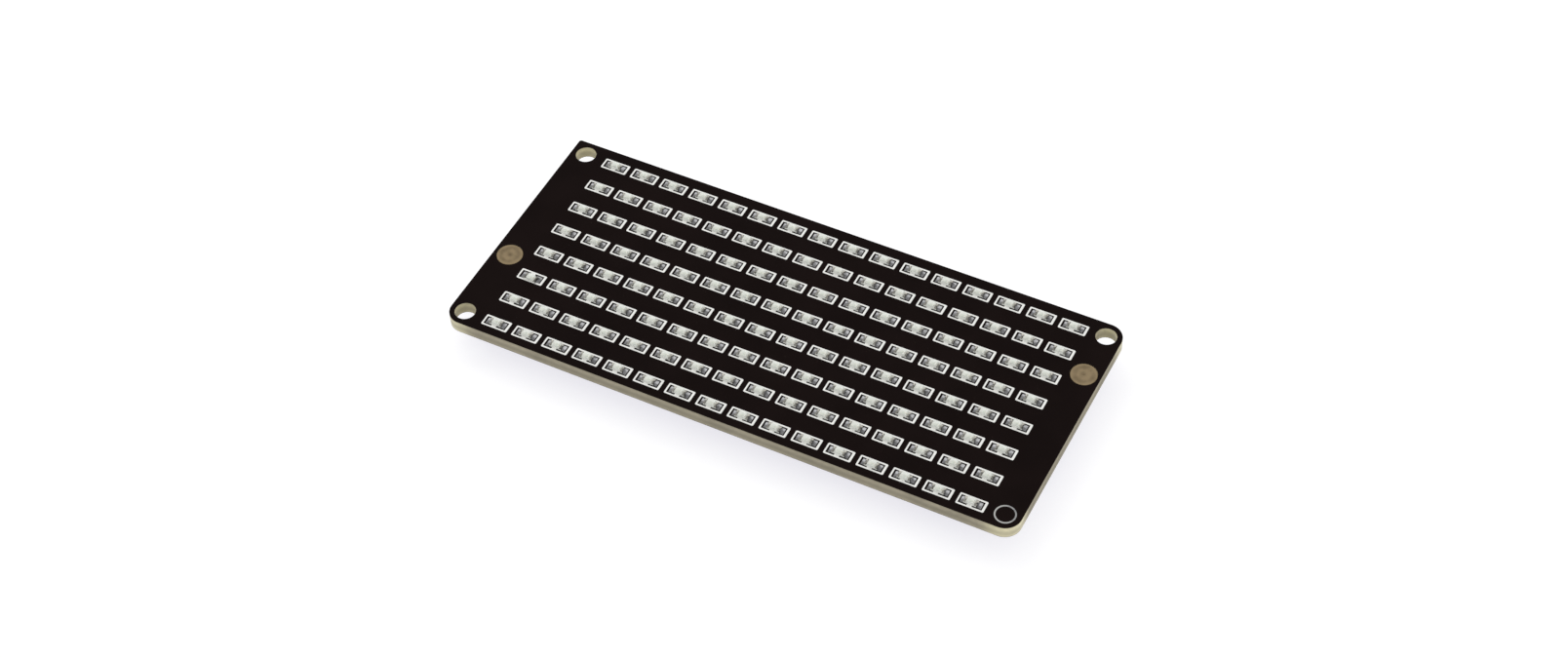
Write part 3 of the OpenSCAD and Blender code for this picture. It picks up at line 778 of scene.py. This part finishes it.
class DOTS_OT_led_solder(bpy.types.Operator):
    """Run the solder fillets up the ends of each LED"""

    bl_idname = "dots.led_solder"
    bl_label = "LED solder"
    bl_options = {"REGISTER", "UNDO"}

    def execute(self, context):
        led = settings().led
        places = LedPlaces()
        draw = random.Random(settings().array.seed + 1)
        half = led.body_length / 2
        bm = fillet(half + led.toe, half + led.plating, led.pad_width, led.climb, 0.02 * MM,
                    led.notch)
        ends = []
        for place in places.both_ends(places.soldered):
            tall = draw.uniform(0.82, 1.12)
            ends.append(place @ Matrix.Diagonal((1, draw.uniform(0.94, 1.0), tall, 1)))
        # painted shade and reflection: the solder is darker on its near half and next to the LED's
        # ends, lighter at its toes
        finish_piece("led_solder_joints", spread(bm, ends),
                     metal_with_painted_shade_finish("tin_solder", settings().colour.solder, (0.18, 0.34),
                                         ((-1.1, 1.0), (-0.9, 0.9), (-0.8, 0.6), (0.8, 0.4),
                                          (0.95, 0.85), (1.2, 1.0)),
                                         ((-0.3, 0.35), (-0.05, 0.4), (0.15, 1.0), (0.4, 1.0))),
                     row_nodes("solder"))

        # the tinned pads fill the lacquer's openings
        pad = bmesh.new()
        inner, outer, side = half - led.terminal, half + led.toe, led.pad_width / 2
        under = on_axis("led_solder_row_1", 2, False) - FRONT
        face_of(pad, [(inner, -side, under), (outer, -side, under), (outer, side, under),
                      (inner, side, under)])
        raise_faces(pad, pad.faces[:], (0, 0, 0.004 * MM - under))
        finish_piece("tinned_led_pads", spread(pad, places.both_ends(places.grid)),
                     metal_finish("tinned_copper_pad", linear("A9A9A9"), (0.3, 0.45), 0.8))
        return {"FINISHED"}


class DOTS_OT_nuts(bpy.types.Operator):
    """Turn the two press-in nuts, with a centre mark, tool rings, a flange and thread grooves"""

    bl_idname = "dots.nuts"
    bl_label = "Press-in nuts"
    bl_options = {"REGISTER", "UNDO"}

    def execute(self, context):
        nut = settings().nut
        steps = 48
        for node in ("press_nut_left", "press_nut_right"):
            centre = middle(node)
            bm = bmesh.new()
            shank, flange, bore = nut.shank / 2, nut.flange / 2, nut.bore / 2
            under = BACK - nut.flange_thickness
            chamfer, ease = 0.07 * MM, 0.04 * MM
            profile = [(0.0, FRONT - 0.075 * MM), (0.07 * MM, FRONT - 0.05 * MM),
                       (0.13 * MM, FRONT - 0.004 * MM)]
            # shallow turned steps on the face
            for ring in (0.42, 0.78, 1.14):
                profile += [(ring * MM, FRONT - 0.004 * MM), ((ring + 0.05) * MM, FRONT - 0.016 * MM),
                            ((ring + 0.10) * MM, FRONT - 0.004 * MM)]
            profile += [(shank - chamfer, FRONT), (shank, FRONT - chamfer), (shank, BACK),
                        (flange - ease, BACK), (flange, BACK - ease), (flange, under + ease),
                        (flange - ease, under), (bore + 0.15 * MM, under)]
            # thread: grooves cut outwards from the bore, a pitch apart
            groove = 0.18 * MM
            z = under + 0.12 * MM
            profile.append((bore, z))
            roof = FRONT - nut.cap
            while z + nut.thread_pitch < roof - 0.05 * MM:
                profile += [(bore + groove, z + nut.thread_pitch / 2), (bore, z + nut.thread_pitch)]
                z += nut.thread_pitch
            profile += [(bore, roof), (0.0, roof + 0.05 * MM)]
            verts = [bm.verts.new((centre.x + r, centre.y, z)) for r, z in profile]
            edges = [bm.edges.new(pair) for pair in zip(verts, verts[1:])]
            bmesh.ops.spin(bm, geom=verts + edges, cent=(centre.x, centre.y, 0), axis=(0, 0, 1),
                           angle=math.tau, steps=steps, use_merge=True)
            bmesh.ops.remove_doubles(bm, verts=bm.verts, dist=1e-7)
            bmesh.ops.recalc_face_normals(bm, faces=bm.faces)
            name = node.replace("press_nut", "turned_nut")
            finish_piece(name, bm, turned_brass_finish(name + "_brass", node), [node])
        return {"FINISHED"}


class DOTS_OT_driver(bpy.types.Operator):
    """Mould the driver chip and bend and solder its leads"""

    bl_idname = "dots.driver"
    bl_label = "Driver chip"
    bl_options = {"REGISTER", "UNDO"}

    def execute(self, context):
        rounded_copy("moulded_driver_chip", "driver_chip",
                     moulded_finish("moulded_chip_epoxy", linear("2B2B2D"), 0.62, 0.12, 0.006),
                     0.06)
        rounded_copy("bent_chip_leads", "driver_chip_leads",
                     metal_finish("tinned_copper", linear("C6C6C6"), (0.25, 0.4), 0.85),
                     0.03, 1)
        dress("driver_chip_solder", metal_finish("lead_solder", settings().colour.solder,
                                                 (0.18, 0.34), 0.8, 0.12, 0.008))
        return {"FINISHED"}


class DOTS_OT_passives(bpy.types.Operator):
    """Finish the capacitors, the resistors, their metal ends and the bare address pads"""

    bl_idname = "dots.passives"
    bl_label = "Capacitors and resistors"
    bl_options = {"REGISTER", "UNDO"}

    def execute(self, context):
        ceramic = moulded_finish("fired_tan_ceramic", linear("BFA981"), 0.5, 0.1, 0.004)
        tin = metal_finish("dipped_tin", linear("C4C4C3"), (0.28, 0.45), 0.8, 0.1, 0.006)
        glaze = resistor_finish()
        for node, name, material, slot, offset in (
            ("bulk_capacitor", "large_capacitor_body", ceramic, "capacitor_body", 0.05),
            ("bulk_capacitor_ends", "large_capacitor_caps", tin, "tinned_lead", 0.12),
            ("small_capacitor", "small_capacitor_body", ceramic, "capacitor_body", 0.03),
            ("small_capacitor_ends", "small_capacitor_caps", tin, "tinned_lead", 0.07),
            ("resistors", "resistor_bodies", glaze, "resistor_body", 0.02),
            ("resistor_ends", "resistor_caps", tin, "tinned_lead", 0.05),
            ("address_pads", "bare_address_pads", tin, "tinned_pad", 0.015),
        ):
            rounded_copy(name, node, material, offset)
        dress("back_solder", metal_finish("pad_solder", settings().colour.solder, (0.18, 0.34),
                                          0.8, 0.12, 0.008))
        return {"FINISHED"}


class DOTS_OT_socket(bpy.types.Operator):
    """Mould the plug socket and finish its contacts and anchor tabs"""

    bl_idname = "dots.socket"
    bl_label = "Plug socket"
    bl_options = {"REGISTER", "UNDO"}

    def execute(self, context):
        rounded_copy("moulded_socket", "socket_housing",
                     moulded_finish("ivory_nylon", linear("E8E3D2"), 0.42, 0.2, 0.004, 0.94),
                     0.05)
        rounded_copy("gold_plated_contacts", "socket_contacts",
                     metal_finish("gold_plating", linear("D9C07A"), (0.2, 0.32), 0.9),
                     0.03, 1)
        rounded_copy("stamped_anchor_tabs", "socket_anchors",
                     metal_finish("tinned_steel", linear("C2C2C2"), (0.28, 0.42), 0.85),
                     0.03, 1)
        return {"FINISHED"}


class DOTS_OT_tracks(bpy.types.Operator):
    """Lay the copper tracks and vias that show through the lacquer behind the board"""

    bl_idname = "dots.tracks"
    bl_label = "Covered tracks"
    bl_options = {"REGISTER", "UNDO"}

    def execute(self, context):
        back = settings().back
        low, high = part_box("driver_chip_leads")
        leads = 14  # on each side of the chip
        inset = 0.21 * MM  # half a lead's width
        pitch = (high[0] - low[0] - 2 * inset) / (leads - 1)
        bm = bmesh.new()
        vias = []
        for side in (-1, 1):
            foot = (high[1] if side > 0 else low[1]) - side * 0.1 * MM
            for i in range(leads):
                x = low[0] + inset + i * pitch
                lean = (i - (leads - 1) / 2) * 0.9 * MM
                out = foot + side * (1.6 + 1.1 * (i % 2)) * MM
                end = (x + lean, out + side * abs(lean) * 0.55)
                self.track(bm, [(x, foot), (x, foot + side * 0.8 * MM), end], back)
                vias.append(end)
        collar = bmesh.new()
        bmesh.ops.create_cone(collar, cap_ends=True, segments=16, radius1=back.via / 2 * 0.8,
                              radius2=back.via / 2, depth=back.track_rise,
                              matrix=Matrix.Translation((0, 0, -back.track_rise / 2)))
        dent = [f for f in collar.faces if f.normal.z < -0.5]
        bmesh.ops.inset_region(collar, faces=dent, thickness=back.via * 0.16, depth=0.0)
        dent = [f for f in collar.faces if f.normal.z < -0.9 and len(f.verts) > 4]
        bmesh.ops.translate(collar, vec=(0, 0, back.track_rise * 0.6),
                            verts=list({v for f in dent for v in f.verts}))
        rings = spread(collar, [Matrix.Translation((x, y, BACK)) for x, y in vias])
        join(bm, rings)
        finish_piece("covered_tracks", bm, solder_mask_finish())
        return {"FINISHED"}

    @staticmethod
    def track(bm, points, back):
        """A raised line of that width through the points, on the back face."""
        half = back.track_width / 2
        left, right = [], []
        for k, (x, y) in enumerate(points):
            before = Vector(points[max(k - 1, 0)])
            after = Vector(points[min(k + 1, len(points) - 1)])
            along = (after - before).normalized()
            across = Vector((-along.y, along.x)) * half
            left.append(bm.verts.new((x + across.x, y + across.y, BACK)))
            right.append(bm.verts.new((x - across.x, y - across.y, BACK)))
        faces = [bm.faces.new((left[k], left[k + 1], right[k + 1], right[k]))
                 for k in range(len(points) - 1)]
        raise_faces(bm, faces, (0, 0, -back.track_rise))


class DOTS_OT_stage(bpy.types.Operator):
    """Set the floor, the studio light and the camera"""

    bl_idname = "dots.stage"
    bl_label = "Stage"
    bl_options = {"REGISTER", "UNDO"}

    def execute(self, context):
        stage = settings().stage
        scene = context.scene
        self.floor()
        self.sky(stage.sky)
        self.lamp("key_lamp", (-0.24, 0.20, 0.36), 0.30, stage.key_power)
        self.lamp("fill_lamp", (0.42, 0.02, 0.16), 0.24, stage.fill_power)
        camera = bpy.data.cameras.new("camera")
        camera.lens, camera.sensor_width, camera.sensor_fit = stage.lens, 36.0, "HORIZONTAL"
        camera.clip_start, camera.clip_end = 0.01, 20.0
        view = bpy.data.objects.new("camera", camera)
        right = Vector((0.89042, 0.45413, -0.03011))
        down = Vector((0.32372, -0.67843, -0.6595))
        turn = Matrix((right, -down, right.cross(-down))).transposed()
        view.matrix_world = Matrix.Translation(stage.camera_place) @ turn.to_4x4()
        scene.collection.objects.link(view)
        scene.camera = view
        scene.view_settings.view_transform = "Standard"
        return {"FINISHED"}

    @staticmethod
    def seen_directly(tree):
        """One where the camera, or a mirror or glass, looks at it, and nought for other light."""
        path = add(tree, "ShaderNodeLightPath")
        first = add(tree, "ShaderNodeMath", operation="MAXIMUM",
                    links={0: path.outputs["Is Camera Ray"], 1: path.outputs["Is Glossy Ray"]})
        return add(tree, "ShaderNodeMath", operation="MAXIMUM",
                   links={0: first.outputs[0], 1: path.outputs["Is Transmission Ray"]}).outputs[0]

    def floor(self):
        """A white sweep: it looks white where it is lit and keeps a part of the shadow."""
        bm = bmesh.new()
        bmesh.ops.create_grid(bm, x_segments=1, y_segments=1, size=3.0)
        mesh = bpy.data.meshes.new("floor")
        bm.to_mesh(mesh)
        bm.free()
        floor = bpy.data.objects.new("floor", mesh)
        bpy.context.scene.collection.objects.link(floor)
        material = bpy.data.materials.new("white_sweep")
        material.use_nodes = True
        tree = material.node_tree
        tree.nodes.clear()
        plain = add(tree, "ShaderNodeBsdfDiffuse", {"Color": linear("E6E6E6")})
        glow = add(tree, "ShaderNodeEmission", {"Color": (0.74, 0.73, 0.79, 1.0), "Strength": 1.0})
        part = add(tree, "ShaderNodeBsdfDiffuse", {"Color": (0.34, 0.35, 0.29, 1.0)})
        seen = add(tree, "ShaderNodeAddShader", links={0: glow.outputs[0], 1: part.outputs[0]})
        mixed = add(tree, "ShaderNodeMixShader",
                    links={0: self.seen_directly(tree), 1: plain.outputs[0], 2: seen.outputs[0]})
        # from underneath the floor is left open, so that the back of the board can be seen
        below = add(tree, "ShaderNodeNewGeometry").outputs["Backfacing"]
        open_below = add(tree, "ShaderNodeMixShader",
                         links={0: below, 1: mixed.outputs[0],
                                2: add(tree, "ShaderNodeBsdfTransparent").outputs[0]})
        add(tree, "ShaderNodeOutputMaterial", links={"Surface": open_below.outputs[0]})
        mesh.materials.append(material)

    def sky(self, strength):
        world = bpy.data.worlds.new("studio")
        bpy.context.scene.world = world
        world.use_nodes = True
        tree = world.node_tree
        tree.nodes.clear()
        paper_white = (1.0, 1.0, 1.0, 1.0)
        even = add(tree, "ShaderNodeBackground", {"Color": paper_white, "Strength": strength})
        white = add(tree, "ShaderNodeBackground", {"Color": paper_white, "Strength": 1.0})
        mixed = add(tree, "ShaderNodeMixShader",
                    links={0: self.seen_directly(tree), 1: even.outputs[0], 2: white.outputs[0]})
        add(tree, "ShaderNodeOutputWorld", links={"Surface": mixed.outputs[0]})

    @staticmethod
    def lamp(name, place, size, power):
        """A soft square lamp that points at the board. Mirrors show the white studio instead."""
        light = bpy.data.lights.new(name, "AREA")
        light.energy, light.size = power, size
        lamp = bpy.data.objects.new(name, light)
        lamp.location = place
        lamp.rotation_euler = (-Vector(place)).to_track_quat("-Z", "Y").to_euler()
        lamp.visible_glossy = False
        bpy.context.scene.collection.objects.link(lamp)


OPERATORS = (DOTS_OT_stage, DOTS_OT_board, DOTS_OT_outlines, DOTS_OT_leds, DOTS_OT_led_solder,
             DOTS_OT_nuts, DOTS_OT_driver, DOTS_OT_passives, DOTS_OT_socket, DOTS_OT_tracks)


class DOTS_PT_panel(bpy.types.Panel):
    """Lists the pieces of the dot matrix"""

    bl_idname = "DOTS_PT_panel"
    bl_label = "Dot matrix"
    bl_space_type = "VIEW_3D"
    bl_region_type = "UI"
    bl_category = "Dot matrix"

    def draw(self, context):
        groups = context.scene.dot_matrix
        for operator in OPERATORS:
            self.layout.operator(operator.bl_idname)
        for name in ("array", "led", "ink", "nut", "back", "colour", "stage"):
            box = self.layout.box()
            box.label(text=name.capitalize())
            group = getattr(groups, name)
            for key in group.__annotations__:
                box.prop(group, key)


CLASSES = (DotArraySettings, LedSettings, PrintSettings, NutSettings, BackSettings,
           ColourSettings, StageSettings, DotMatrixSettings, *OPERATORS, DOTS_PT_panel)


def register():
    for cls in CLASSES:
        bpy.utils.register_class(cls)
    bpy.types.Scene.dot_matrix = PointerProperty(type=DotMatrixSettings)


def unregister():
    del bpy.types.Scene.dot_matrix
    for cls in reversed(CLASSES):
        bpy.utils.unregister_class(cls)


def main():
    register()
    for operator in OPERATORS:
        group, name = operator.bl_idname.split(".")
        getattr(getattr(bpy.ops, group), name)()


if __name__ == "__main__":
    main()
